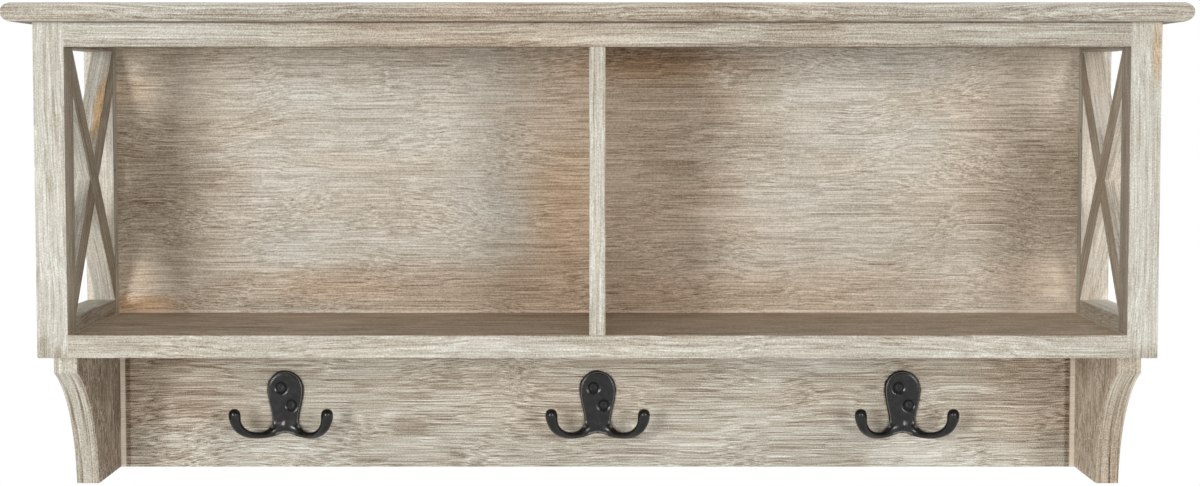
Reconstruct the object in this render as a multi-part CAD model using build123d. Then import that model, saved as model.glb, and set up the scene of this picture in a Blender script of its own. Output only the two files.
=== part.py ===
from build123d import *
import math
import os

# Wall rack: open cross-sided case on two curved brackets, with a rail of double hooks.
# Wall plane at y = 0, the room is towards -y, z = 0 is the line of the hanger entry holes.

# Case
body_width = 620.0
body_depth = 144.0
stile_width = 17.0
stile_depth = 21.0
front_rail_height = 13.5
front_rail_depth = 14.0
opening_height = 159.0
shelf_thickness = 12.7
side_rail_height = 13.5
bottom_rail_rise = 9.0
slat_width = 17.0
slat_thickness = 12.5
top_thickness = 10.5
top_overhang = 14.0
top_round = 5.2
back_thickness = 10.0
panel_lap = 8.0
divider_thickness = 9.0
housing_depth = 3.0
housing_setback = 14.0
edge_ease = 0.6
cut_past = 1.0

# Below the shelf
hook_rail_height = 82.5
hook_rail_thickness = 10.0
bracket_thickness = 13.5
bracket_setback = 22.5
bracket_nose = 11.2
bracket_foot = 70.0
bracket_hollow = 12.0

# Double hooks
hook_left_inset = 101.5
hook_right_inset = 106.0
hook_drop = 23.1
hook_plate_radius = 10.8
hook_plate_thickness = 3.0
hook_plate_round = 1.4
hook_plate_length = 34.5
hook_neck_half = 7.5
hook_tip_radius = 3.7
hook_tip_angles = (30.0, 55.0, 75.0)
hook_screw_places = ((-2.6, -10.1), (3.7, -20.8))
# Stations from the middle of the hook to the tip of a prong:
# sideways, outwards, below the plate top, half height, half depth
prong_stations = (
    (0.0, 1.4, 33.5, 4.4, 2.2),
    (5.0, 1.6, 35.3, 3.9, 2.2),
    (9.5, 3.2, 37.9, 2.75, 2.4),
    (13.0, 6.2, 38.7, 2.2, 2.3),
    (17.0, 10.9, 38.3, 2.15, 2.15),
    (22.0, 16.6, 36.2, 2.4, 2.4),
    (26.0, 20.6, 32.0, 3.0, 3.0),
    (27.6, 22.0, 27.6, 3.5, 3.5),
    (28.0, 22.5, 24.0, hook_tip_radius, hook_tip_radius),
)

# Keyhole hangers in the back panel
hanger_spacing = 406.4
hanger_drop = 30.0
hanger_width = 16.0
hanger_above = 25.0
hanger_below = 17.0
hanger_corner = 7.5
hanger_thickness = 1.6
hanger_entry = 9.0
hanger_slot = 4.6
hanger_travel = 10.0
hanger_screw_places = (-11.5, 19.6)
pocket_width = 11.0
pocket_depth = 7.0
pocket_margin = 1.5

# Screws, dowels and brads
screw_head = 6.0
screw_shank = 3.0
screw_point = 0.5
hook_screw_length = 11.0
hanger_screw_length = 8.5
drive_length = 3.4
drive_width = 0.9
drive_depth = 1.3
dowel_diameter = 6.0
dowel_in_stile = 9.0
dowel_in_rail = 13.0
dowel_in_top = 6.0
dowel_up_rail = 8.0
dowel_in_shelf = 8.0
dowel_in_bracket = 8.0
slat_dowel_diameter = 4.0
slat_dowel_in_slat = 6.0
slat_dowel_in_stile = 8.0
top_dowel_inset = 32.0
top_dowel_reach = 150.0
shelf_dowel_inset = 18.0
bracket_dowel_gap = 15.0
hook_rail_dowel_inset = 73.0
hook_rail_dowel_reach = 90.0
end_dowel_drops = (22.0, 62.0)
brad_head = 3.0
brad_head_height = 0.8
brad_shank = 1.4
brad_length = 18.0
brad_inset = 4.0
brad_margin = 38.0

# Fits
dowel_fit = 0.1
dowel_end_gap = 0.5
screw_fit = 0.05
housing_fit = 0.1
panel_fit = 0.2
hanger_fit = 0.2

x_out = body_width / 2
x_in = x_out - stile_width
x_mid = x_out - stile_width / 2
y_front = -body_depth
y_frame_front = y_front + stile_depth
y_frame_back = -stile_depth
z_under_top = hanger_drop
z_top = z_under_top + top_thickness
z_rail = z_under_top - front_rail_height
z_side_rail = z_under_top - side_rail_height
z_shelf = z_rail - opening_height
z_shelf_under = z_shelf - shelf_thickness
z_bottom_rail = z_shelf + bottom_rail_rise
z_foot = z_shelf_under - hook_rail_height
z_hook = z_shelf_under - hook_drop
y_hook = -hook_rail_thickness

pieces = {}
groups = {}


def block(x0, x1, y0, y1, z0, z1):
    size = Box(x1 - x0, y1 - y0, z1 - z0)
    return Pos((x0 + x1) / 2, (y0 + y1) / 2, (z0 + z1) / 2) * size


def eased(solid, *rows):
    # Rounds the edges that stay in the open, given as rows of edges.
    return fillet([edge for row in rows for edge in row], edge_ease)


def rod(start, direction, length, diameter):
    seat = Plane(origin=start, z_dir=direction)
    return seat * extrude(Circle(diameter / 2), amount=length)


def dowel(group, holders, joint, direction, back, ahead, diameter):
    # One dowel across a joint face, and the hole for it in each of the pieces it holds.
    way = Vector(*direction).normalized()
    at = Vector(*joint)
    pin = rod(at - way * back, way, back + ahead, diameter)
    hole = rod(
        at - way * (back + dowel_end_gap),
        way,
        back + ahead + 2 * dowel_end_gap,
        diameter + 2 * dowel_fit,
    )
    groups.setdefault(group, []).append(pin)
    for name in holders:
        pieces[name] = pieces[name] - hole


def side_plate(points, x0, x1):
    outline = make_face(Polyline(*points, close=True))
    return Pos(x0, 0, 0) * (Plane.YZ * extrude(outline, amount=x1 - x0))


def screw(length):
    cone = (screw_head - screw_shank) / 2
    tip = screw_shank
    head = Pos(0, 0, -cone / 2) * Cone(screw_shank / 2, screw_head / 2, cone)
    shank = Pos(0, 0, -cone - (length - cone - tip) / 2) * Cylinder(screw_shank / 2, length - cone - tip)
    point = Pos(0, 0, tip / 2 - length) * Cone(screw_point / 2, screw_shank / 2, tip)
    slot = Pos(0, 0, -drive_depth / 2) * Box(drive_length, drive_width, drive_depth)
    return head + shank + point - slot - Rot(0, 0, 90) * slot


def screw_hole(length):
    cone = (screw_head - screw_shank) / 2
    top = screw_head / 2 + screw_fit
    bore = screw_shank / 2 + screw_fit
    sink = Pos(0, 0, -cone / 2) * Cone(bore, top, cone)
    return sink + Pos(0, 0, -length / 2) * Cylinder(bore, length)


def brad():
    head = Pos(0, 0, -brad_head_height / 2) * Cylinder(brad_head / 2, brad_head_height)
    return head + Pos(0, 0, -brad_length / 2) * Cylinder(brad_shank / 2, brad_length)


def brad_hole():
    head = Pos(0, 0, -brad_head_height / 2) * Cylinder(brad_head / 2 + screw_fit, brad_head_height)
    depth = brad_length + dowel_end_gap
    return head + Pos(0, 0, -depth / 2) * Cylinder(brad_shank / 2 + screw_fit, depth)


def prongs():
    # One half of the bent bar, from the middle of the hook to its domed tip, joined to its mirror image.
    centres = [Vector(s[0], -s[1], -s[2]) for s in prong_stations]
    halves = [s[3:] for s in prong_stations]
    tip = centres[-1]
    tip_way = (tip - centres[-2]).normalized()
    for angle in hook_tip_angles:
        centres.append(tip + tip_way * (hook_tip_radius * math.sin(math.radians(angle))))
        halves.append([hook_tip_radius * math.cos(math.radians(angle))] * 2)
    opposite = Vector(-centres[1].X, centres[1].Y, centres[1].Z)
    path = [opposite, *centres, centres[-1]]
    outward = Vector(0, -1, 0)
    sections = []
    for i, (at, (half_height, half_depth)) in enumerate(zip(centres, halves)):
        along = (path[i + 2] - path[i]).normalized()
        through = (outward - along * outward.dot(along)).normalized()
        sections.append(Plane(origin=at, x_dir=through, z_dir=along) * Ellipse(half_depth, half_height))
    half = loft(sections)
    return half + mirror(half, Plane.YZ)


def hook():
    shoulder = (hook_plate_radius, -hook_plate_radius)
    neck = (hook_neck_half, -hook_plate_length)
    flank = Spline(shoulder, neck, tangents=((0, -1), (0, -1)))
    crown = ThreePointArc((-shoulder[0], shoulder[1]), (0, 0), shoulder)
    base = Line(neck, (-neck[0], neck[1]))
    outline = make_face([crown, flank, base, mirror(flank, Plane.YZ)])
    plate = Plane.XZ * extrude(outline, amount=hook_plate_thickness)
    rim = plate.faces().sort_by(Axis.Y)[0].edges()
    body = fillet(rim, hook_plate_round) + prongs()
    body = split(body, bisect_by=Plane.XZ, keep=Keep.TOP)
    for x, z in hook_screw_places:
        seat = Plane(origin=(x, -hook_plate_thickness, z), z_dir=(0, -1, 0))
        body = body - seat * screw_hole(hook_screw_length)
    return body


def hanger_outline(grow):
    height = hanger_above + hanger_below + 2 * grow
    middle = (hanger_above - hanger_below) / 2
    return Pos(0, middle) * RectangleRounded(hanger_width + 2 * grow, height, hanger_corner + grow)


def keyhole():
    slot = Pos(0, hanger_travel / 2) * Rectangle(hanger_slot, hanger_travel)
    return Circle(hanger_entry / 2) + slot + Pos(0, hanger_travel) * Circle(hanger_slot / 2)


# Top board, with its front and both ends rounded over
top_board = block(
    -x_out - top_overhang, x_out + top_overhang, y_front - top_overhang, 0, z_under_top, z_top
)
flat_edges = top_board.edges().filter_by(Axis.Z, reverse=True).sort_by(Axis.Y)
wall_edges = flat_edges[-2:]
pieces["top_board"] = fillet([edge for edge in flat_edges if edge not in wall_edges], top_round)

front_rail = block(-x_in, x_in, y_front, y_front + front_rail_depth, z_rail, z_under_top)
pieces["front_rail"] = eased(front_rail, front_rail.edges().filter_by(Axis.X))
shelf_board = block(-x_in, x_in, y_front, 0, z_shelf_under, z_shelf)
pieces["shelf_board"] = eased(shelf_board, shelf_board.edges().filter_by(Axis.X).group_by(Axis.Y)[0])

panel_half = x_in + panel_lap - panel_fit
pieces["back_panel"] = block(-panel_half, panel_half, -back_thickness, 0, z_shelf, z_under_top)
hook_rail = block(-x_in, x_in, y_hook, 0, z_foot, z_shelf_under)
pieces["hook_rail"] = eased(hook_rail, hook_rail.edges().filter_by(Axis.X).group_by(Axis.Z)[0])

# Divider, notched around the front rail and housed in the shelf and the top board
divider_half = divider_thickness / 2
divider = block(-divider_half, divider_half, y_front, -back_thickness, z_shelf, z_under_top)
divider = eased(divider, divider.edges().filter_by(Axis.Z).group_by(Axis.Y)[0])
rail_notch = block(
    -divider_half, divider_half, y_front, y_front + front_rail_depth, z_rail, z_under_top
)
y_housing = y_front + housing_setback
tongue = block(
    -divider_half,
    divider_half,
    y_housing,
    -back_thickness,
    z_shelf - housing_depth,
    z_under_top + housing_depth,
)
pieces["divider"] = divider - rail_notch + tongue
housing = block(
    -divider_half - housing_fit,
    divider_half + housing_fit,
    y_housing,
    -back_thickness,
    z_shelf - housing_depth,
    z_under_top + housing_depth,
)
pieces["shelf_board"] = pieces["shelf_board"] - housing
pieces["top_board"] = pieces["top_board"] - housing

# Right side frame: two stiles, two rails and a half-lapped cross
front_stile = block(x_in, x_out, y_front, y_frame_front, z_shelf_under, z_under_top)
pieces["right_front_stile"] = eased(
    front_stile,
    front_stile.edges().filter_by(Axis.Z).sort_by(Axis.Y)[:2].sort_by(Axis.X)[1:],
    front_stile.faces().sort_by(Axis.Z)[0].edges().sort_by(Axis.Y)[:1],
    front_stile.faces().sort_by(Axis.Z)[0].edges().sort_by(Axis.X)[-1:],
)
rear_stile = block(x_in, x_out, y_frame_back, 0, z_shelf_under, z_under_top)
rebate = block(
    x_in - cut_past, x_in + panel_lap, -back_thickness, cut_past, z_shelf, z_under_top + cut_past
)
pieces["right_rear_stile"] = eased(
    rear_stile,
    rear_stile.edges().filter_by(Axis.Z).sort_by(Axis.Y)[2:].sort_by(Axis.X)[1:],
    rear_stile.faces().sort_by(Axis.Z)[0].edges().sort_by(Axis.X)[-1:],
) - rebate
top_rail = block(x_in, x_out, y_frame_front, y_frame_back, z_side_rail, z_under_top)
pieces["right_top_rail"] = eased(top_rail, top_rail.edges().filter_by(Axis.Y).group_by(Axis.Z)[0])
bottom_rail = block(x_in, x_out, y_frame_front, y_frame_back, z_shelf_under, z_bottom_rail)
rail_edges = bottom_rail.edges().filter_by(Axis.Y).group_by(Axis.Z)
pieces["right_bottom_rail"] = eased(bottom_rail, rail_edges[1], rail_edges[0].sort_by(Axis.X)[1:])

span = y_frame_back - y_frame_front
rise = z_side_rail - z_bottom_rail
width_sq = slat_width**2
root = math.sqrt(width_sq**2 * rise**2 + (span**2 - width_sq) * width_sq * (span**2 + rise**2))
slat_cut = (root - width_sq * rise) / (span**2 - width_sq)
rising = (
    (y_frame_front, z_bottom_rail),
    (y_frame_front, z_bottom_rail + slat_cut),
    (y_frame_back, z_side_rail),
    (y_frame_back, z_side_rail - slat_cut),
)
falling = (
    (y_frame_front, z_side_rail),
    (y_frame_front, z_side_rail - slat_cut),
    (y_frame_back, z_bottom_rail),
    (y_frame_back, z_bottom_rail + slat_cut),
)
x_slat = x_in + slat_thickness
x_lap = x_in + slat_thickness / 2
slats = {}
for name, corners in (("rising", rising), ("falling", falling)):
    slat = side_plate(corners, x_in, x_slat)
    slats[name] = eased(slat, slat.edges().filter_by(lambda edge: abs(edge.tangent_at(0.5).Y) > 0.1))
pieces["right_rising_slat"] = slats["rising"] - side_plate(falling, x_in - cut_past, x_lap)
pieces["right_falling_slat"] = slats["falling"] - side_plate(rising, x_lap, x_slat + cut_past)

# Right bracket, hollowed in front
nose_front = y_front + bracket_setback
nose_tip = Vector(nose_front, z_shelf_under - bracket_nose)
foot_tip = Vector(-bracket_foot, z_foot)
chord = foot_tip - nose_tip
square = Vector(-chord.Y, chord.X).normalized()
hollow_mid = (nose_tip + foot_tip) / 2 + square * bracket_hollow
bracket_outline = make_face(
    [
        Line((nose_front, z_shelf_under), (nose_tip.X, nose_tip.Y)),
        ThreePointArc(
            (nose_tip.X, nose_tip.Y), (hollow_mid.X, hollow_mid.Y), (foot_tip.X, foot_tip.Y)
        ),
        Line((foot_tip.X, foot_tip.Y), (0, z_foot)),
        Line((0, z_foot), (0, z_shelf_under)),
        Line((0, z_shelf_under), (nose_front, z_shelf_under)),
    ]
)
bracket = Pos(x_in, 0, 0) * (Plane.YZ * extrude(bracket_outline, amount=bracket_thickness))
below_shelf = bracket.edges().group_by(Axis.Z)[:-1]
bracket_edges = [edge for row in below_shelf for edge in row]
pieces["right_bracket"] = eased(bracket, [edge for edge in bracket_edges if edge.center().Y < -edge_ease])

# Dowels of the right side frame
z_top_dowel = (z_side_rail + z_under_top) / 2
z_low_dowel = (z_shelf_under + z_bottom_rail) / 2
for z, rail in ((z_top_dowel, "right_top_rail"), (z_low_dowel, "right_bottom_rail")):
    for y, way, stile in (
        (y_frame_front, -1, "right_front_stile"),
        (y_frame_back, 1, "right_rear_stile"),
    ):
        dowel(
            "right_frame_dowels",
            (rail, stile),
            (x_mid, y, z),
            (0, way, 0),
            dowel_in_rail,
            dowel_in_stile,
            dowel_diameter,
        )
for z, slat, y, way, stile in (
    (z_bottom_rail + slat_cut / 2, "right_rising_slat", y_frame_front, -1, "right_front_stile"),
    (z_side_rail - slat_cut / 2, "right_rising_slat", y_frame_back, 1, "right_rear_stile"),
    (z_side_rail - slat_cut / 2, "right_falling_slat", y_frame_front, -1, "right_front_stile"),
    (z_bottom_rail + slat_cut / 2, "right_falling_slat", y_frame_back, 1, "right_rear_stile"),
):
    dowel(
        "right_slat_dowels",
        (slat, stile),
        (x_lap, y, z),
        (0, way, 0),
        slat_dowel_in_slat,
        slat_dowel_in_stile,
        slat_dowel_diameter,
    )
y_rail_mid = y_front + front_rail_depth / 2
y_back_mid = -hook_rail_thickness / 2

# The left side is the mirror image of the right side, with its dowels
for name in [n for n in pieces if n.startswith("right_")]:
    pieces[name.replace("right_", "left_", 1)] = mirror(pieces[name], Plane.YZ)
for name in [n for n in groups if n.startswith("right_")]:
    groups[name.replace("right_", "left_", 1)] = [mirror(p, Plane.YZ) for p in groups[name]]

# Dowels between the two sides and the boards
for hand, sign in (("left", -1), ("right", 1)):
    dowel(
        "front_rail_dowels",
        ("front_rail", hand + "_front_stile"),
        (sign * x_in, y_rail_mid, z_top_dowel),
        (sign, 0, 0),
        dowel_in_rail,
        dowel_in_stile,
        dowel_diameter,
    )
    for y in (y_frame_front + top_dowel_inset, y_frame_back - top_dowel_inset):
        dowel(
            "top_board_dowels",
            ("top_board", hand + "_top_rail"),
            (sign * x_mid, y, z_under_top),
            (0, 0, 1),
            dowel_up_rail,
            dowel_in_top,
            dowel_diameter,
        )
    dowel(
        "top_board_dowels",
        ("top_board", "front_rail"),
        (sign * top_dowel_reach, y_rail_mid, z_under_top),
        (0, 0, 1),
        dowel_up_rail,
        dowel_in_top,
        dowel_diameter,
    )
    for y in (y_frame_front + shelf_dowel_inset, y_frame_back - shelf_dowel_inset):
        dowel(
            "shelf_dowels",
            ("shelf_board", hand + "_bottom_rail"),
            (sign * x_in, y, (z_shelf + z_shelf_under) / 2),
            (sign, 0, 0),
            dowel_in_rail,
            dowel_in_stile,
            dowel_diameter,
        )
    bracket_dowel_inset = shelf_dowel_inset + bracket_dowel_gap
    for y in (y_frame_front + bracket_dowel_inset, y_frame_back - bracket_dowel_inset):
        dowel(
            "bracket_dowels",
            (hand + "_bracket", hand + "_bottom_rail"),
            (sign * (x_in + bracket_thickness / 2), y, z_shelf_under),
            (0, 0, 1),
            dowel_in_rail,
            dowel_in_stile,
            dowel_diameter,
        )
    for drop in end_dowel_drops:
        dowel(
            "hook_rail_end_dowels",
            ("hook_rail", hand + "_bracket"),
            (sign * x_in, y_back_mid, z_shelf_under - drop),
            (sign, 0, 0),
            dowel_in_rail,
            dowel_in_bracket,
            dowel_diameter,
        )
    for x in (x_in - hook_rail_dowel_inset, hook_rail_dowel_reach):
        dowel(
            "hook_rail_top_dowels",
            ("hook_rail", "shelf_board"),
            (sign * x, y_back_mid, z_shelf_under),
            (0, 0, 1),
            dowel_in_rail,
            dowel_in_shelf,
            dowel_diameter,
        )

# Brads through the back panel into the rear stiles and the divider
z_brads = (z_shelf + brad_margin, (z_shelf + z_under_top) / 2, z_under_top - brad_margin)
for x, holder in (
    (-x_in - brad_inset, "left_rear_stile"),
    (0, "divider"),
    (x_in + brad_inset, "right_rear_stile"),
):
    for z in z_brads:
        seat = Plane(origin=(x, 0, z), z_dir=(0, 1, 0))
        groups.setdefault("back_panel_brads", []).append(seat * brad())
        for name in ("back_panel", holder):
            pieces[name] = pieces[name] - seat * brad_hole()

# Hooks and their screws
for name, x in (("left", hook_left_inset - x_in), ("centre", 0), ("right", x_in - hook_right_inset)):
    place = Pos(x, y_hook, z_hook)
    pieces[name + "_hook"] = place * hook()
    for sx, sz in hook_screw_places:
        seat = Plane(origin=(x + sx, y_hook - hook_plate_thickness, z_hook + sz), z_dir=(0, -1, 0))
        groups.setdefault(name + "_hook_screws", []).append(seat * screw(hook_screw_length))
        hole = screw_hole(hook_screw_length + dowel_end_gap)
        pieces["hook_rail"] = pieces["hook_rail"] - seat * hole

# Keyhole hanger plates let into the back panel, each over a pocket for the head of a wall screw
for hand, sign in (("left", -1), ("right", 1)):
    at = Plane(origin=(sign * hanger_spacing / 2, 0, 0), x_dir=(-1, 0, 0), z_dir=(0, 1, 0))
    plate = at * extrude(hanger_outline(0) - keyhole(), amount=-hanger_thickness)
    recess = at * extrude(hanger_outline(hanger_fit), amount=-hanger_thickness)
    pocket_height = hanger_entry + hanger_travel + 2 * pocket_margin
    pocket_face = Pos(0, hanger_travel / 2) * SlotCenterToCenter(
        pocket_height - pocket_width, pocket_width, rotation=90
    )
    pocket = at * extrude(pocket_face, amount=-pocket_depth)
    pieces["back_panel"] = pieces["back_panel"] - recess - pocket
    for z in hanger_screw_places:
        seat = at * Pos(0, z, 0)
        groups.setdefault("hanger_screws", []).append(seat * screw(hanger_screw_length))
        hole = seat * screw_hole(hanger_screw_length + dowel_end_gap)
        plate = plate - hole
        pieces["back_panel"] = pieces["back_panel"] - hole
    pieces[hand + "_hanger_plate"] = plate

os.makedirs("parts", exist_ok=True)
for name, solid in pieces.items():
    export_step(solid, os.path.join("parts", name + ".step"))
for name, solids in groups.items():
    export_step(Compound(children=solids), os.path.join("parts", name + ".step"))
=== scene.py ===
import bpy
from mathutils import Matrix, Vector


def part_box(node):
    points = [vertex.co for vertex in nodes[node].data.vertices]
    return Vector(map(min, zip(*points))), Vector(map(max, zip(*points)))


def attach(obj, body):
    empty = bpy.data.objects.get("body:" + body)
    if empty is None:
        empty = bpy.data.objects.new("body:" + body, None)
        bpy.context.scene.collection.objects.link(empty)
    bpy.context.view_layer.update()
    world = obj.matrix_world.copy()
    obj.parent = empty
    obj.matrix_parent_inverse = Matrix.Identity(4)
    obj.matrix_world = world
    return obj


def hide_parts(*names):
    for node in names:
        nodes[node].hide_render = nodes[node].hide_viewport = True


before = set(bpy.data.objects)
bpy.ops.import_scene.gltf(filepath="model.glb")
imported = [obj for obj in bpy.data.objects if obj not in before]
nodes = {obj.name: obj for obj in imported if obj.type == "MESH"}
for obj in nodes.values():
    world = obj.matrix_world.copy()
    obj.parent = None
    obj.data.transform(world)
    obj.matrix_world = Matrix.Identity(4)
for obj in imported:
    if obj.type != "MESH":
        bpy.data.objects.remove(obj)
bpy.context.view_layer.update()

import math
import bpy
from mathutils import Matrix, Vector

scene = bpy.context.scene

# Measures of the rack, in metres, as the solids have them
X_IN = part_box("hook_rail")[1][0]
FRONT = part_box("front_rail")[0][1]
BACK_LOW, BACK_HIGH = (corner[2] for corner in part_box("back_panel"))
HOOK_RAIL_LOW, HOOK_RAIL_HIGH = (corner[2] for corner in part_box("hook_rail"))
SHELF_LOW, SHELF_HIGH = (corner[2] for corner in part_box("shelf_board"))
TOP_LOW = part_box("top_board")[0][2]
RAIL_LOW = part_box("front_rail")[0][2]
DIVIDER_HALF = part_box("divider")[1][0]
REAR_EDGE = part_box("left_rear_stile")[0][1]
BRACKET_MIDDLE = sum(corner[0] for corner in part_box("right_bracket")) / 2
PLATE_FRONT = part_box("centre_hook_screws")[0][1]


def srgb(r, g, b):
    """A colour named by its 0 to 255 values, as linear light."""
    def lin(v):
        v /= 255
        return v / 12.92 if v <= 0.04045 else ((v + 0.055) / 1.055) ** 2.4
    return lin(r), lin(g), lin(b), 1.0


# Tones of the washed wood, from bare brown at 0 to full wash at 1, and thick wash above
TONES = (
    (0.00, srgb(64, 51, 41)),
    (0.20, srgb(98, 82, 68)),
    (0.35, srgb(125, 109, 94)),
    (0.50, srgb(150, 137, 122)),
    (0.65, srgb(175, 165, 151)),
    (0.80, srgb(196, 190, 178)),
    (0.90, srgb(208, 204, 194)),
    (1.00, srgb(222, 219, 211)),
    (1.20, srgb(246, 244, 239)),
)

# Tints that multiply a tone
OCHRE = (0.98, 0.66, 0.36, 1.0)
BLUSH = (1.0, 0.87, 0.78, 1.0)
WARM = (1.03, 0.93, 0.83, 1.0)
COOL = (0.985, 1.0, 0.985, 1.0)

# How strongly each part of the grain shows on the frame's wood, the panels and the brackets
FRAME = {"coarse": 0.24, "fine": 0.85, "vein": -0.08, "pore": -0.09, "line": -0.14, "speckle": 0.9}
PANEL = {"coarse": 0.12, "fine": 1.45, "vein": -0.03, "pore": -0.1, "line": -0.14, "speckle": 0.9}
CARVED = {"coarse": 0.2, "fine": 0.8, "vein": -0.08, "pore": -0.06, "line": -0.16, "speckle": 1.1}

# Directions of the grain
ALONG_X = (1, 0, 0)
ALONG_Y = (0, 1, 0)
ALONG_Z = (0, 0, 1)

# Stains, each with its middle, its reach along X, Y and Z, and its strength
RAIL_STAINS = (((-0.07, FRONT, RAIL_LOW + 0.003), (0.05, 0.02, 0.006), 0.12),)
STILE_STAINS = (((0.3075, FRONT, 0.016), (0.004, 0.012, 0.022), 0.5),)
SLAT_STAINS = (((-0.2945, -0.047, -0.02), (0.005, 0.03, 0.03), 0.9),)
PANEL_STAINS = (
    ((-0.281, -0.01, -0.138), (0.034, 0.02, 0.007), 0.6),
    ((-0.285, -0.01, -0.122), (0.018, 0.02, 0.014), 0.15),
    ((-0.287, -0.01, -0.008), (0.020, 0.02, 0.012), 0.2),
    ((-0.180, -0.01, -0.126), (0.060, 0.02, 0.014), 0.2),
    ((-0.020, -0.01, -0.080), (0.026, 0.02, 0.050), 0.3),
    ((0.030, -0.01, 0.008), (0.060, 0.02, 0.012), 0.35),
    ((0.270, -0.01, -0.120), (0.030, 0.02, 0.016), 0.12),
)

# Pin holes on the inner faces of the rear stiles and on the divider
STILE_PINS = ((X_IN, -0.0165, -0.031), (-X_IN, -0.0165, -0.055))
DIVIDER_PINS = ((DIVIDER_HALF, -0.06, 0.015), (DIVIDER_HALF, -0.06, 0.008))
PIN_RADIUS = 0.0009

# Run and rise of the crossed slats
SLAT_RUN = 0.102
SLAT_RISE = 0.1273

# Dark lines on a bracket's hollow front: place at its foot, place at its nose, and depth of tone
BRACKET_LINES = ((0.001, -0.003, 0.42), (-0.005, -0.0065, 0.22), (0.006, 0.003, 0.25))

# Tone of the back panel's rear face
REAR_TONE = 0.7

# Size of the mottling on each metal, and the least roughness and its spread on the bright ones
HOOK_MOTTLE = 0.003
SCREW_MOTTLE = 0.002
ZINC_MOTTLE = 0.003
BRAD_MOTTLE = 0.002
BRIGHT_ROUGH = 0.2975
BRIGHT_ROUGH_SPREAD = 0.105


class Shader:
    """A material's node tree, with short calls for the nodes that the finishes use."""

    def __init__(self, name):
        self.material = bpy.data.materials.new(name)
        self.material.use_nodes = True
        self.tree = self.material.node_tree
        self.tree.nodes.clear()
        self.out = self.tree.nodes.new("ShaderNodeOutputMaterial")
        self.bsdf = self.tree.nodes.new("ShaderNodeBsdfPrincipled")
        self.tree.links.new(self.bsdf.outputs[0], self.out.inputs[0])
        coords = self.tree.nodes.new("ShaderNodeTexCoord")
        self.place = coords.outputs["Object"]
        self.normal = coords.outputs["Normal"]

    def put(self, socket, value):
        """Links a socket to another, or sets its value."""
        if isinstance(value, bpy.types.NodeSocket):
            self.tree.links.new(value, socket)
        elif value is not None:
            socket.default_value = value

    def math(self, op, a, b=None, c=None):
        n = self.tree.nodes.new("ShaderNodeMath")
        n.operation = op
        for i, v in enumerate((a, b, c)):
            self.put(n.inputs[i], v)
        return n.outputs[0]

    def minus(self, a, b):
        return self.math("SUBTRACT", a, b)

    def times(self, a, b):
        return self.math("MULTIPLY", a, b)

    def plus(self, base, value, amount):
        """A base plus a value times an amount."""
        return self.math("MULTIPLY_ADD", value, amount, base)

    def total(self, base, *changes):
        """A base plus several masks, each times its own amount."""
        for mask, amount in changes:
            base = self.plus(base, mask, amount)
        return base

    def vector(self, op, a, b=None):
        n = self.tree.nodes.new("ShaderNodeVectorMath")
        n.operation = op
        self.put(n.inputs[0], a)
        self.put(n.inputs[1], b)
        return n.outputs["Value"] if op in ("DOT_PRODUCT", "LENGTH", "DISTANCE") else n.outputs[0]

    def split(self, v):
        n = self.tree.nodes.new("ShaderNodeSeparateXYZ")
        self.put(n.inputs[0], v)
        return n.outputs[0], n.outputs[1], n.outputs[2]

    def join(self, x, y, z):
        n = self.tree.nodes.new("ShaderNodeCombineXYZ")
        for i, v in enumerate((x, y, z)):
            self.put(n.inputs[i], v)
        return n.outputs[0]

    def noise(self, v, detail=2.0, rough=0.5, scale=1.0):
        n = self.tree.nodes.new("ShaderNodeTexNoise")
        self.put(n.inputs["Vector"], v)
        n.inputs["Scale"].default_value = scale
        n.inputs["Detail"].default_value = detail
        n.inputs["Roughness"].default_value = rough
        return n.outputs[0]

    def mottle(self, size):
        """A mottling of the given size, from 0 to 1."""
        return self.ramp(self.noise(self.place, scale=1 / size), 0.3, 0.7)

    def ramp(self, value, low, high, to_low=0.0, to_high=1.0):
        """A smooth step from one result at a low value to another at a high value."""
        n = self.tree.nodes.new("ShaderNodeMapRange")
        n.interpolation_type = "SMOOTHSTEP"
        for i, v in enumerate((value, low, high, to_low, to_high)):
            self.put(n.inputs[i], v)
        return n.outputs[0]

    def fall(self, value, low, high):
        """1 below a low value, 0 above a high one."""
        return self.ramp(value, low, high, 1.0, 0.0)

    def near(self, value, centre, half, soft):
        """1 within half of a centre value, falling to 0 over a soft border."""
        away = self.math("ABSOLUTE", self.minus(value, centre))
        return self.fall(away, half, half + soft)

    def gradient(self, value, stops):
        """A colour ramp whose last stop may lie above 1."""
        n = self.tree.nodes.new("ShaderNodeValToRGB")
        top = stops[-1][0]
        first, last = n.color_ramp.elements
        first.position, first.color = stops[0]
        last.position, last.color = 1.0, stops[-1][1]
        for position, colour in stops[1:-1]:
            n.color_ramp.elements.new(position / top).color = colour
        self.put(n.inputs[0], self.times(value, 1 / top))
        return n.outputs[0]

    def mix(self, amount, a, b, mode="MIX"):
        n = self.tree.nodes.new("ShaderNodeMix")
        n.data_type = "RGBA"
        n.blend_type = mode
        self.put(n.inputs["Factor"], amount)
        self.put(n.inputs[6], a)
        self.put(n.inputs[7], b)
        return n.outputs[2]

    def bump(self, height, strength, distance):
        n = self.tree.nodes.new("ShaderNodeBump")
        n.inputs["Strength"].default_value = strength
        n.inputs["Distance"].default_value = distance
        self.put(n.inputs["Height"], height)
        self.put(self.bsdf.inputs["Normal"], n.outputs[0])

    def set(self, **values):
        for name, v in values.items():
            self.put(self.bsdf.inputs[name.replace("_", " ")], v)


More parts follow.
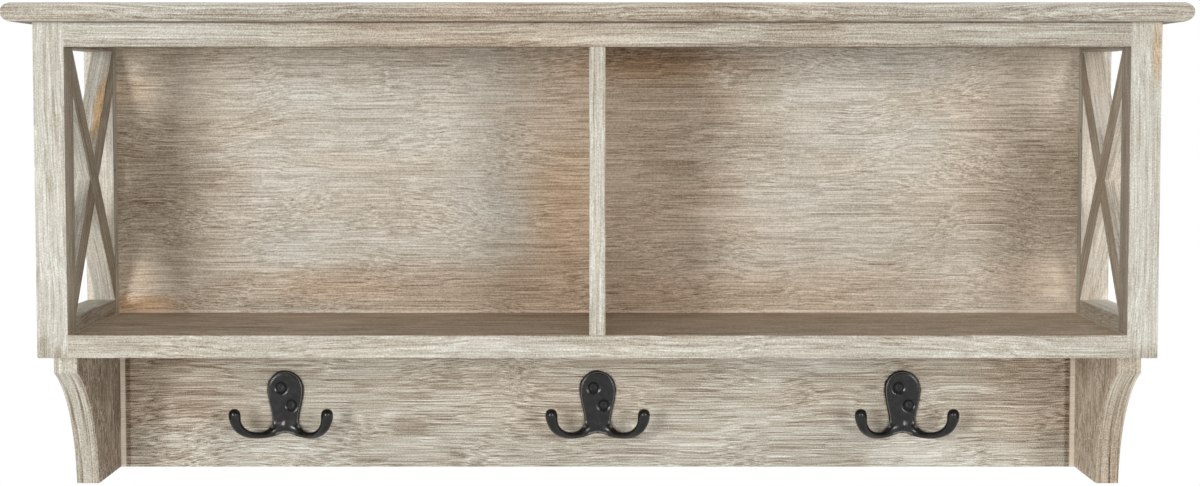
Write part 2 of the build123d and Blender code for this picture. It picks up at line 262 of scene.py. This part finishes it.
class Wood(Shader):
    """Brushed wood under a thin white wash, with its grain along one direction.

    reach stretches the grain along that direction, fine scales its width, and wander bends it.
    follow lets the grain run on over a carved front, and loosens it on the side faces.
    """

    # Length and width of each part of the grain, in metres
    FLOW = (0.14, 0.07)
    SWAY = (0.05, 0.03)
    QUIVER = (0.007, 0.006)
    COARSE = (0.07, 0.0034)
    FINE = (0.020, 0.0010)
    VEIN = (0.12, 0.0052)
    PORE = (0.007, 0.0006)
    LINE = (0.05, 0.0021)
    CLOUD = (0.05, 0.022)
    PATCH = (0.09, 0.03)
    SPECKLE = 0.0008

    # Shares of the three bends of the grain
    FLOW_SHARE = 12
    SWAY_SHARE = 1.8
    QUIVER_SHARE = 0.22

    # Where veins, pores and lines begin and end in their noise
    VEIN_EDGE = (0.0, 0.03)
    PORE_EDGE = (0.58, 0.72)
    LINE_EDGE = (0.015, 0.07)

    # Shares of the clouds in the tone and of the patches in the warmth
    CLOUD_SHARE = 0.3
    PATCH_SHARE = 0.9

    # Shares of the grain in the relief, and the relief's strength and depth
    RELIEF = {"coarse": 0.5, "fine": 0.5, "pore": -0.4, "line": -0.3}
    BUMP_STRENGTH = 0.4
    BUMP_DISTANCE = 0.0004

    # How squarely a face looks along a direction, where it starts to count and where it counts in full
    FACING_LOW = 0.5
    FACING_HIGH = 0.85

    # Half the width over which the left half of the rack turns into the right half
    HALF_TURN = 0.1

    def __init__(self, name, along, wander=0.0012, seed=0.0, bold=1.0, warmth=0.2, reach=2.5, fine=0.75,
                 look=FRAME, follow=False):
        super().__init__(name)
        self.x, self.y, self.z = self.split(self.place)
        self.nx, _, self.nz = self.split(self.normal)
        self.across = self.math("ABSOLUTE", self.x)
        self.look = {part: amount * bold for part, amount in look.items()}
        self.warmth = warmth
        self.calm = 1.0
        self.blush = None
        shifted = self.vector("ADD", self.place, (seed, 1.7 * seed, 0.6 * seed))
        self.lay_grain(shifted, along, wander, follow)
        self.coarse = self.grain(self.COARSE, 3.0, 0.6, reach, fine)
        self.fine = self.grain(self.FINE, 2.0, 0.6, reach, fine)
        veins = self.grain(self.VEIN, 2.0, 0.5, reach, fine)
        self.vein = self.fall(self.math("ABSOLUTE", self.centred(veins)), *self.VEIN_EDGE)
        self.pore = self.ramp(self.grain(self.PORE, 1.0, reach=reach), *self.PORE_EDGE)
        lines = self.grain(self.LINE, 2.0, 0.5, reach, fine)
        self.line = self.fall(self.math("ABSOLUTE", self.centred(lines)), *self.LINE_EDGE)
        self.cloud = self.grain(self.CLOUD, 3.0, 0.55)
        self.speckle = self.noise(shifted, 2.0, 0.8, 1 / self.SPECKLE)

    def lay_grain(self, shifted, along, wander, follow):
        """Sets the coordinates of the grain, bent by how far it wanders."""
        along = Vector(along).normalized()
        second = Vector((0, 1, 0)) if abs(along.x) > 0.5 else Vector((1, 0, 0))
        third = along.cross(second)
        axes = (along, second, third)
        self.a, self.b, self.c = (self.vector("DOT_PRODUCT", shifted, tuple(axis)) for axis in axes)
        loose = 1.0
        if follow:
            self.side = self.ramp(self.math("ABSOLUTE", self.nx), 0.4, 0.6)
            self.c = self.times(self.c, self.side)
            self.a = self.plus(self.a, self.times(self.a, self.side), 1.0)
            loose = self.plus(1.0, self.side, 3.0)
        flow = self.times(self.centred(self.grain(self.FLOW, 1.0)), self.FLOW_SHARE * wander)
        sway = self.centred(self.grain(self.SWAY, 1.0))
        quiver = self.centred(self.grain(self.QUIVER, 1.0))
        bend = self.total(flow, (sway, self.SWAY_SHARE * wander), (quiver, self.QUIVER_SHARE * wander))
        self.sway = self.times(bend, loose)
        self.b = self.math("ADD", self.b, self.sway)
        self.c = self.math("ADD", self.c, self.sway)

    def grain(self, size, detail=2.0, rough=0.5, reach=1.0, fine=1.0):
        """Noise drawn out along the grain, for a part of the given length and width."""
        along = 1 / (size[0] * reach)
        over = 1 / (size[1] * fine)
        v = self.join(self.times(self.a, along), self.times(self.b, over), self.times(self.c, over))
        return self.noise(v, detail, rough)

    def centred(self, value):
        """A noise as a change about 0."""
        return self.minus(value, 0.5)

    def invert(self, mask):
        return self.minus(1.0, mask)

    def facing(self, x=0.0, y=0.0, z=0.0):
        """1 on the faces that look along a direction."""
        squarely = self.vector("DOT_PRODUCT", self.normal, (x, y, z))
        return self.ramp(squarely, self.FACING_LOW, self.FACING_HIGH)

    def inward(self):
        """1 on the faces that look at the middle of the rack."""
        out = self.times(self.math("SIGN", self.x), self.nx)
        return self.ramp(out, -self.FACING_LOW, -self.FACING_HIGH)

    def outward(self):
        """1 on the faces that look away from the middle of the rack."""
        out = self.times(self.math("SIGN", self.x), self.nx)
        return self.ramp(out, self.FACING_LOW, self.FACING_HIGH)

    def right(self, on_left=0.0, on_right=1.0):
        """A value for the left half of the rack that turns into one for the right half."""
        return self.ramp(self.x, -self.HALF_TURN, self.HALF_TURN, on_left, on_right)

    def glaze(self, gap, clear, border):
        """How much brown glaze stays within a gap of an edge, broken up by the grain."""
        wild = self.plus(gap, self.centred(self.cloud), 0.6 * border)
        return self.fall(wild, clear, clear + border)

    def foot(self, low, high):
        """1 below a height, with a cloudy border up to another."""
        return self.fall(self.plus(self.z, self.centred(self.cloud), 0.02), low, high)

    def pin_holes(self, tone, places):
        """Dark spots where pins were driven in."""
        for place in places:
            away = self.vector("DISTANCE", self.place, place)
            tone = self.plus(tone, self.fall(away, PIN_RADIUS, PIN_RADIUS * 1.5), -0.9)
        return tone

    def stain(self, colour, centre, reach, strength):
        """A rusty stain, left off the faces that look inwards or at the wall."""
        away = self.vector("DIVIDE", self.vector("SUBTRACT", self.place, centre), reach)
        away = self.plus(self.vector("LENGTH", away), self.centred(self.fine), 1.6)
        away = self.plus(away, self.math("MAXIMUM", self.inward(), self.facing(y=1)), 2.0)
        return self.mix(self.ramp(away, 0.3, 1.2, strength, 0.0), colour, OCHRE, "MULTIPLY")

    def finish(self, tone, stains=()):
        """Adds the grain to a tone, and makes colour, gloss and relief from it."""
        change = self.times(self.centred(self.cloud), self.CLOUD_SHARE)
        for part in ("coarse", "fine", "speckle"):
            change = self.plus(change, self.centred(getattr(self, part)), self.look[part])
        change = self.total(
            change,
            (self.times(self.vein, self.ramp(self.cloud, 0.4, 0.62)), self.look["vein"]),
            (self.pore, self.look["pore"]),
            (self.times(self.line, self.ramp(self.coarse, 0.62, 0.4)), self.look["line"]),
        )
        tone = self.plus(tone, change, self.calm)
        colour = self.gradient(tone, TONES)
        patch = self.centred(self.grain(self.PATCH, 1.0))
        warmth = self.ramp(self.plus(self.warmth, patch, self.PATCH_SHARE), 0.0, 1.0)
        tint = self.mix(warmth, COOL, WARM)
        colour = self.mix(1.0, colour, tint, "MULTIPLY")
        if self.blush is not None:
            colour = self.mix(self.blush, colour, BLUSH, "MULTIPLY")
        for centre, reach, strength in stains:
            colour = self.stain(colour, centre, reach, strength)
        relief = self.total(0.0, *((getattr(self, part), share) for part, share in self.RELIEF.items()))
        self.set(Base_Color=colour, Roughness=self.ramp(tone, 0.1, 0.9, 0.58, 0.82), Specular_IOR_Level=0.25)
        self.bump(relief, self.BUMP_STRENGTH, self.BUMP_DISTANCE)
        return self.material


def top_board():
    w = Wood("washed_top", ALONG_X, seed=0.31, bold=1.2)
    middle = w.fall(w.across, 0.05, 0.2)
    right_end = w.ramp(w.x, 0.1, 0.2)
    # Painted shade on the lowest strip of the rounded front edge, where it turns under the board
    low_edge = w.times(w.fall(w.z, TOP_LOW + 0.0015, TOP_LOW + 0.0055), w.facing(y=-1))
    # Painted shade on the board's underside
    shaded_underside = w.ramp(w.nz, -0.93, -0.99)
    w.warmth = w.plus(0.15, middle, 0.35)
    tone = w.total(
        0.75,
        (w.facing(z=1), 0.06),
        (middle, -0.06),
        (right_end, 0.03),
        (low_edge, -0.1),
        (shaded_underside, -0.35),
    )
    return w.finish(tone)


def front_rail():
    w = Wood("washed_front_rail", ALONG_X, seed=0.77)
    middle = w.fall(w.across, 0.10, 0.22)
    right_end = w.ramp(w.x, 0.1, 0.2)
    over_divider = w.times(w.near(w.x, 0.012, 0.015, 0.04), w.fall(w.z, RAIL_LOW + 0.004, RAIL_LOW + 0.009))
    low_edge = w.times(w.fall(w.z, RAIL_LOW + 0.001, RAIL_LOW + 0.004), w.cloud)
    w.warmth = w.plus(0.05, middle, 0.4)
    tone = w.total(
        0.83,
        (middle, -0.1),
        (over_divider, 0.16),
        (right_end, -0.06),
        (low_edge, -0.22),
        # Painted shade on the rail's underside
        (w.facing(z=-1), -0.3),
        (w.facing(y=1), -0.3),
    )
    return w.finish(tone, RAIL_STAINS)


def shelf_board():
    w = Wood("washed_shelf", ALONG_X, seed=1.13)
    upper = w.facing(z=1)
    right_end = w.times(upper, w.ramp(w.x, 0.08, 0.28))
    joint = w.times(w.ramp(w.across, X_IN - 0.0022, X_IN - 0.0008), upper)
    w.blush = w.times(upper, 0.35)
    w.calm = w.plus(1.0, upper, 0.6)
    w.warmth = w.plus(0.2, upper, 0.6)
    tone = w.total(
        0.81,
        (upper, 0.01),
        (right_end, 0.11),
        # Painted shade on the shelf's underside
        (w.facing(z=-1), -0.15),
        (joint, 0.3),
    )
    return w.finish(tone)


def stiles():
    w = Wood("washed_stiles", ALONG_Z, seed=1.71, bold=0.9)
    rear = w.ramp(w.y, -0.04, -0.03)
    rear_fore = w.times(rear, w.facing(y=-1))
    inner = w.times(w.inward(), w.invert(w.times(rear, 0.75)))
    rear_edge = w.times(w.near(w.y, REAR_EDGE, 0.0008, 0.001), w.inward())
    w.warmth = w.plus(0.05, rear_fore, 0.5)
    tone = w.total(
        0.88,
        (inner, -0.29),
        (w.outward(), -0.1),
        (w.facing(y=1), -0.3),
        # Painted light on the fronts of the rear stiles, as from light through the crossed slats, a little
        # more on the right
        (rear_fore, w.right(0.17, 0.2)),
        (rear_edge, -0.35),
    )
    tone = w.pin_holes(tone, STILE_PINS)
    tone = w.plus(tone, w.foot(SHELF_LOW + 0.001, SHELF_LOW + 0.012), -0.18)
    return w.finish(tone, STILE_STAINS)


def divider():
    w = Wood("washed_divider", ALONG_Z, seed=2.3, bold=0.9, warmth=0.1)
    sides = w.ramp(w.math("ABSOLUTE", w.nx), w.FACING_LOW, w.FACING_HIGH)
    tone = w.plus(0.85, sides, -0.16)
    return w.finish(w.pin_holes(tone, DIVIDER_PINS))


def side_rails():
    w = Wood("washed_side_rails", ALONG_Y, seed=2.9)
    tone = w.total(
        0.85,
        # Inner faces darker, and on the right half less so, which is painted light from the left
        (w.inward(), w.right(-0.22, -0.06)),
        # Painted shade on the undersides
        (w.facing(z=-1), -0.25),
        # Top faces a little darker on the left, with painted light on the right half
        (w.facing(z=1), w.right(-0.05, 0.2)),
    )
    return w.finish(tone)


def slats(name, rise, stains=()):
    w = Wood(name, (0, SLAT_RUN, rise), seed=3.3 + rise)
    w.warmth = w.plus(0.2, w.right(), 0.4)
    tone = w.total(
        0.92,
        (w.right(), 0.13),
        (w.inward(), -0.32),
        (w.outward(), -0.05),
    )
    return w.finish(tone, stains)


def brackets():
    """Brackets with the carved look on their hollow fronts and the panels' look on their sides."""
    w = Wood("washed_brackets", ALONG_Z, wander=0.0007, seed=4.1, reach=4.0, look=CARVED, follow=True)
    for part, amount in PANEL.items():
        w.look[part] = w.plus(CARVED[part], w.side, amount - CARVED[part])
    right = w.right()
    fore = w.facing(y=-1)
    below_nose = w.fall(w.z, SHELF_LOW - 0.016, SHELF_LOW - 0.009)
    w.warmth = w.total(0.2, (right, 0.4), (w.inward(), 0.4))
    w.calm = w.plus(1.0, w.inward(), 0.5)
    tone = w.total(
        0.82,
        (w.inward(), -0.32),
        (fore, -0.06),
        # Painted light on the right bracket's inner face, which looks towards the stronger light from the
        # left
        (w.times(w.inward(), right), 0.26),
        (w.times(fore, right), -0.1),
        (w.times(w.invert(below_nose), fore), 0.1),
    )
    hollow = w.times(w.invert(w.side), below_nose)
    height = w.ramp(w.z, HOOK_RAIL_LOW, SHELF_LOW)
    across = w.plus(w.minus(w.across, BRACKET_MIDDLE), w.sway, 1.5)
    broken = w.ramp(w.plus(w.cloud, right, -0.06), 0.36, 0.5)
    for at_foot, at_nose, depth in BRACKET_LINES:
        line = w.near(across, w.plus(at_foot, height, at_nose - at_foot), 0.0002, 0.0006)
        tone = w.plus(tone, w.times(w.times(line, hollow), broken), -depth)
    tone = w.total(tone, (w.outward(), -0.06), (w.facing(y=1), -0.25))
    return w.finish(tone)


def back_panel():
    """Back panel, browner at its ends and beside the divider from a glaze and from painted warm shade, with
    painted shadows of the slats and the top board, and an even wash on its rear face.
    """
    w = Wood("washed_back", ALONG_X, wander=0.0022, seed=5.2, reach=4.5, fine=0.5, look=PANEL)
    right = w.right()
    ends = w.glaze(w.minus(X_IN, w.across), 0.02, 0.085)
    beside = w.times(w.minus(w.across, DIVIDER_HALF), w.ramp(w.x, -0.01, 0.01, 1.0, 0.65))
    middle = w.glaze(beside, 0.012, 0.06)
    upper = w.glaze(w.minus(BACK_HIGH, w.z), 0.006, 0.02)
    lower = w.glaze(w.minus(w.z, BACK_LOW), 0.004, 0.02)
    foot = w.foot(SHELF_HIGH + 0.018, SHELF_HIGH + 0.04)
    clear = w.fall(w.across, 0.22, 0.27)
    # Painted shadow of the crossed slats: a band at mid height on the panel's ends
    slat_shadow_band = w.near(w.z, -0.062, 0.015, 0.045)
    # Painted shadow under the top board, just right of the divider
    shade = w.fall(w.minus(w.x, DIVIDER_HALF), 0.05, 0.09)
    shade = w.times(shade, w.ramp(w.x, 0.0, 0.004))
    shade = w.times(shade, w.ramp(w.z, BACK_HIGH - 0.03, BACK_HIGH - 0.014))
    veil = w.times(w.near(w.x, 0.065, 0.02, 0.04), w.ramp(w.z, -0.09, -0.04))
    seam = w.fall(w.z, BACK_LOW + 0.0012, BACK_LOW + 0.0022)
    rear = w.facing(y=1)
    tone = w.total(
        0.96,
        (ends, -0.03),
        (w.math("MAXIMUM", upper, lower), -0.05),
        (w.times(foot, clear), w.right(-0.12, -0.03)),
        (w.times(foot, w.invert(clear)), 0.1),
        # painted shadow of the slats on the ends, weaker on the right
        (w.times(ends, slat_shadow_band), w.plus(-0.2, right, -0.05)),
        (w.times(ends, right), 0.1),
        (shade, -0.2),
        (veil, -0.12),
        (seam, 0.2),
    )
    tone = w.plus(tone, w.minus(REAR_TONE, tone), rear)
    # Warmer and blushed at the ends and beside the divider: a glaze, and partly the warm tint of the shade
    # in those zones, painted in
    w.warmth = w.plus(0.5, w.math("MAXIMUM", ends, middle), 0.55)
    blush = w.times(middle, w.plus(0.3, right, 0.25))
    blush = w.math("MAXIMUM", blush, w.times(foot, w.ramp(w.across, 0.05, 0.22, 0.7, 0.1)))
    w.blush = w.times(blush, w.invert(rear))
    return w.finish(tone, PANEL_STAINS)


def hook_rail():
    """Hook rail, with a pale strip and a dark line where its front meets the brackets."""
    w = Wood("washed_hook_rail", ALONG_X, wander=0.0016, seed=6.7, reach=4.0, fine=0.5, look=PANEL)
    gap = w.minus(X_IN, w.across)
    fore = w.facing(y=-1)
    ends = w.glaze(gap, 0.015, 0.07)
    upper = w.glaze(w.minus(HOOK_RAIL_HIGH, w.z), 0.008, 0.016)
    lower = w.fall(w.z, HOOK_RAIL_LOW + 0.012, HOOK_RAIL_LOW + 0.03)
    corners = w.times(lower, w.near(gap, 0.075, 0.03, 0.04))
    strip = w.near(w.plus(gap, w.centred(w.fine), 0.002), 0.0, 0.0027, 0.0007)
    strip = w.times(strip, fore)
    line = w.near(w.plus(gap, w.centred(w.speckle), 0.003), 0.0046, 0.0008, 0.0014)
    w.calm = w.total(1.15, (ends, 0.2), (strip, -0.95))
    w.warmth = w.total(0.38, (ends, 0.35), (strip, 0.6), (lower, -0.3))
    tone = w.total(
        0.75,
        (ends, -0.04),
        (corners, 0.09),
        (upper, -0.06),
        (w.times(line, fore), -0.25),
        (strip, 0.4),
        (w.facing(y=1), -0.15),
    )
    return w.finish(tone)


def beech():
    w = Wood("beech", ALONG_Z, seed=7.9, bold=0.4, warmth=1.0)
    return w.finish(w.plus(0.6, w.cloud, 0.1))


def fine_skin(s, size):
    """The fine relief of a metal skin whose mottling has the given size."""
    s.bump(s.noise(s.place, 3.0, 0.5, 5 / size), 0.12, 0.0002)


def bright_metal(name, light, dark, size):
    """Bare metal with a mottled skin; size is that of the mottling."""
    s = Shader(name)
    mottle = s.mottle(size)
    roughness = s.plus(BRIGHT_ROUGH, mottle, BRIGHT_ROUGH_SPREAD)
    s.set(Base_Color=s.mix(mottle, dark, light), Metallic=1.0, Roughness=roughness)
    fine_skin(s, size)
    return s.material


def gunmetal_finish():
    """Dark cast metal, with a painted highlight along the rounded edge of the plate and a painted dark
    reflection on the side just outside it.
    """
    s = Shader("gunmetal")
    mottle = s.mottle(HOOK_MOTTLE)
    depth = s.minus(s.split(s.place)[1], PLATE_FRONT)
    slope = s.split(s.normal)[1]
    edge = s.near(depth, 0.0006, 0.001, 0.0008)
    # Painted highlight along the plate's rounded edge, where it would catch the side lamps
    painted_rim_highlight = s.times(s.near(slope, -0.81, 0.06, 0.07), edge)
    # Painted dark reflection on the side just outside that rounded edge
    painted_dark_flank = s.times(s.ramp(slope, -0.65, -0.4), edge)
    colour = s.mix(mottle, srgb(18, 18, 17), srgb(29, 29, 28))
    colour = s.mix(painted_rim_highlight, colour, srgb(110, 108, 103))
    colour = s.mix(painted_dark_flank, colour, srgb(9, 9, 9))
    s.set(Base_Color=colour, Specular_IOR_Level=0.37, Roughness=s.ramp(mottle, 0.0, 1.0, 0.17, 0.23))
    fine_skin(s, HOOK_MOTTLE)
    return s.material


def screw_places(name):
    """The middles of the two screw heads of a hook, which stand apart in height."""
    spots = [v.co for v in nodes[name].data.vertices]
    middle = sum(c.z for c in spots) / len(spots)
    places = []
    for group in ([c for c in spots if c.z > middle], [c for c in spots if c.z <= middle]):
        xs = [c.x for c in group]
        zs = [c.z for c in group]
        places.append(((min(xs) + max(xs)) / 2, (min(zs) + max(zs)) / 2))
    return places


def black_screw(name):
    """Black screw heads, with painted shade at their border and in the cross recess."""
    s = Shader("black_" + name)
    mottle = s.mottle(SCREW_MOTTLE)
    head = s.fall(s.minus(s.split(s.place)[1], PLATE_FRONT), 0.00005, 0.0003)
    away = [s.vector("DISTANCE", s.place, (x, PLATE_FRONT, z)) for x, z in screw_places(name)]
    border = s.ramp(s.math("MINIMUM", *away), 0.0018, 0.0023)
    colour = s.mix(mottle, srgb(34, 34, 33), srgb(56, 56, 54))
    # Painted shade at the border of each head
    colour = s.mix(border, colour, srgb(6, 6, 6))
    # Painted shade in the cross recess, deeper than the face of the head
    colour = s.mix(head, srgb(2, 2, 2), colour)
    s.set(Base_Color=colour, Specular_IOR_Level=0.2, Roughness=s.ramp(mottle, 0.0, 1.0, 0.26, 0.34))
    s.bump(mottle, 0.1, 0.0001)
    return s.material


def assign(names, material):
    for name in names:
        materials = nodes[name].data.materials
        materials.clear()
        materials.append(material)


def named(*ends):
    return [name for name in nodes if name.endswith(ends)]


assign(["top_board"], top_board())
assign(["front_rail"], front_rail())
assign(["shelf_board"], shelf_board())
assign(named("_stile"), stiles())
assign(["divider"], divider())
assign(named("_top_rail", "_bottom_rail"), side_rails())
assign(named("rising_slat"), slats("washed_rising_slats", SLAT_RISE, SLAT_STAINS))
assign(named("falling_slat"), slats("washed_falling_slats", -SLAT_RISE))
assign(named("_bracket"), brackets())
assign(["back_panel"], back_panel())
assign(["hook_rail"], hook_rail())
assign(named("_dowels"), beech())
for screws in named("_hook_screws"):
    assign([screws], black_screw(screws))
zinc = bright_metal("zinc", srgb(196, 196, 192), srgb(165, 166, 165), ZINC_MOTTLE)
assign(named("_hanger_plate") + ["hanger_screws"], zinc)
brad_steel = bright_metal("brad_steel", srgb(172, 170, 166), srgb(138, 136, 133), BRAD_MOTTLE)
assign(["back_panel_brads"], brad_steel)
gunmetal = gunmetal_finish()

# The hooks as castings: voxel size, radius of the filled corners, smoothing, and the sunk screw seats
VOXEL = 0.00032
WEB = 0.006
SMOOTH_FACTOR = 0.5
SMOOTH_ROUNDS = 16
SINK_RADIUS = 0.0049
SINK_SLOPE = 0.0020
SINK_DEPTH = 0.0004
SINK_ZONE = 0.0015


def filled_mesh(source):
    """A mesh with its inner corners filled to the radius WEB, by growing and shrinking it."""
    piece = bpy.data.objects.new("cast", source.data.copy())
    scene.collection.objects.link(piece)
    for step in (WEB, -WEB, 0.0):
        remesh = piece.modifiers.new("remesh", "REMESH")
        remesh.mode = "VOXEL"
        remesh.voxel_size = VOXEL
        if step:
            grow = piece.modifiers.new("grow", "DISPLACE")
            grow.mid_level = 0.0
            grow.strength = step
    even = piece.modifiers.new("even", "SMOOTH")
    even.factor = SMOOTH_FACTOR
    even.iterations = SMOOTH_ROUNDS
    bpy.context.view_layer.update()
    depsgraph = bpy.context.evaluated_depsgraph_get()
    filled = bpy.data.meshes.new_from_object(piece.evaluated_get(depsgraph))
    bpy.data.objects.remove(piece)
    return filled


def cast_mesh(source, screws):
    """A hook as a casting, with filled corners and sunk screw seats."""
    done = filled_mesh(source)
    places = screw_places(screws)
    for vertex in done.vertices:
        if vertex.co.y > PLATE_FRONT + SINK_ZONE:
            continue
        for x, z in places:
            part = (SINK_RADIUS - math.hypot(vertex.co.x - x, vertex.co.z - z)) / SINK_SLOPE
            part = min(1.0, max(0.0, part))
            vertex.co.y += SINK_DEPTH * part * part * (3 - 2 * part)
    for face in done.polygons:
        face.use_smooth = True
    done.materials.clear()
    done.materials.append(gunmetal)
    return done


cast = cast_mesh(nodes["centre_hook"], "centre_hook_screws")
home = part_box("centre_hook")[0][0]
for hook_name in ("left_hook", "centre_hook", "right_hook"):
    assign([hook_name], gunmetal)
    mesh = cast.copy()
    mesh.transform(Matrix.Translation((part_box(hook_name)[0][0] - home, 0, 0)))
    piece = bpy.data.objects.new(hook_name + "_cast", mesh)
    scene.collection.objects.link(piece)
    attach(piece, "root")
    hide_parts(hook_name)

# Floor and world
FLOOR_Z = -0.75
FLOOR_HALF = 2.2
WORLD_LIGHT = 0.36
WHITE = (1, 1, 1, 1)


def seen_rays(tree):
    """1 for the rays that see the background: camera, glossy and transmission rays."""
    path = tree.nodes.new("ShaderNodeLightPath")
    seen = path.outputs["Is Camera Ray"]
    for ray in ("Is Glossy Ray", "Is Transmission Ray"):
        either = tree.nodes.new("ShaderNodeMath")
        either.operation = "MAXIMUM"
        tree.links.new(seen, either.inputs[0])
        tree.links.new(path.outputs[ray], either.inputs[1])
        seen = either.outputs[0]
    return seen


def mix_shaders(tree, amount, first, second, out):
    """Sends a mix of two shaders to an output."""
    blend = tree.nodes.new("ShaderNodeMixShader")
    for socket, value in zip(blend.inputs, (amount, first.outputs[0], second.outputs[0])):
        tree.links.new(value, socket)
    tree.links.new(blend.outputs[0], out.inputs[0])


def make_floor():
    """A pale floor that turns white towards its border."""
    mesh = bpy.data.meshes.new("floor")
    signs = ((-1, -1), (1, -1), (1, 1), (-1, 1))
    mesh.from_pydata([(sx * FLOOR_HALF, sy * FLOOR_HALF, 0) for sx, sy in signs], [], [(0, 1, 2, 3)])
    floor = bpy.data.objects.new("floor", mesh)
    floor.location = (0, 0, FLOOR_Z)
    scene.collection.objects.link(floor)
    s = Shader("pale_floor")
    colour = s.mix(s.noise(s.place, 2.0), (0.8, 0.8, 0.79, 1), (0.84, 0.84, 0.83, 1))
    s.set(Base_Color=colour, Roughness=0.8)
    border = s.ramp(s.vector("LENGTH", s.place), 0.35 * FLOOR_HALF, 0.98 * FLOOR_HALF)
    white = s.tree.nodes.new("ShaderNodeEmission")
    mix_shaders(s.tree, s.times(seen_rays(s.tree), border), s.bsdf, white, s.out)
    mesh.materials.append(s.material)


def make_world():
    """Soft light from all round, on a white background."""
    world = bpy.data.worlds.new("studio")
    scene.world = world
    world.use_nodes = True
    tree = world.node_tree
    tree.nodes.clear()
    out = tree.nodes.new("ShaderNodeOutputWorld")
    soft = tree.nodes.new("ShaderNodeBackground")
    soft.inputs[0].default_value = WHITE
    soft.inputs[1].default_value = WORLD_LIGHT
    white = tree.nodes.new("ShaderNodeBackground")
    white.inputs[0].default_value = WHITE
    mix_shaders(tree, seen_rays(tree), soft, white, out)


scene.view_settings.view_transform = "Standard"
make_floor()
make_world()

# Lamps: name, place, point aimed at, size in metres and power in watts
RACK_MIDDLE = (0, -0.07, -0.1)
LAMPS = (
    ("top_softbox", (0.0, 0.2, 2.2), (0, 0, 0), (2.0, 1.2), 24),
    ("rear_softbox", (0.0, 2.4, 0.5), RACK_MIDDLE, (1.6, 0.8), 18),
    ("left_side_softbox", (-2.0, -0.15, -0.05), (0, -0.1, -0.1), (0.4, 0.4), 9),
    ("right_side_softbox", (2.0, -0.15, -0.05), (0, -0.1, -0.1), (0.4, 0.4), 9),
    ("left_softbox", (-1.1, -2.25, 0.1), RACK_MIDDLE, (0.45, 0.6), 21),
    ("right_softbox", (1.1, -2.25, 0.1), RACK_MIDDLE, (0.45, 0.6), 14),
)


def softbox(name, at, target, size, power):
    data = bpy.data.lights.new(name, "AREA")
    data.shape = "RECTANGLE"
    data.size, data.size_y = size
    data.energy = power
    light = bpy.data.objects.new(name, data)
    light.location = at
    light.rotation_mode = "QUATERNION"
    light.rotation_quaternion = (Vector(target) - Vector(at)).to_track_quat("-Z", "Y")
    scene.collection.objects.link(light)


for lamp in LAMPS:
    softbox(*lamp)

# Camera: focal length and image width in pixels, place in metres, and how far it looks down
FOCAL_PX = 2246.0
IMAGE_WIDTH = 1200.0
SENSOR_WIDTH = 36.0
CAMERA_PLACE = (0.00143, -1.38045, -0.01306)
PITCH = math.radians(3.619)
camera_data = bpy.data.cameras.new("camera")
camera_data.sensor_fit = "HORIZONTAL"
camera_data.sensor_width = SENSOR_WIDTH
camera_data.lens = SENSOR_WIDTH * FOCAL_PX / IMAGE_WIDTH
camera = bpy.data.objects.new("camera", camera_data)
camera.location = CAMERA_PLACE
camera.rotation_euler = (math.pi / 2 - PITCH, 0, 0)
scene.collection.objects.link(camera)
scene.camera = camera

bpy.context.view_layer.update()
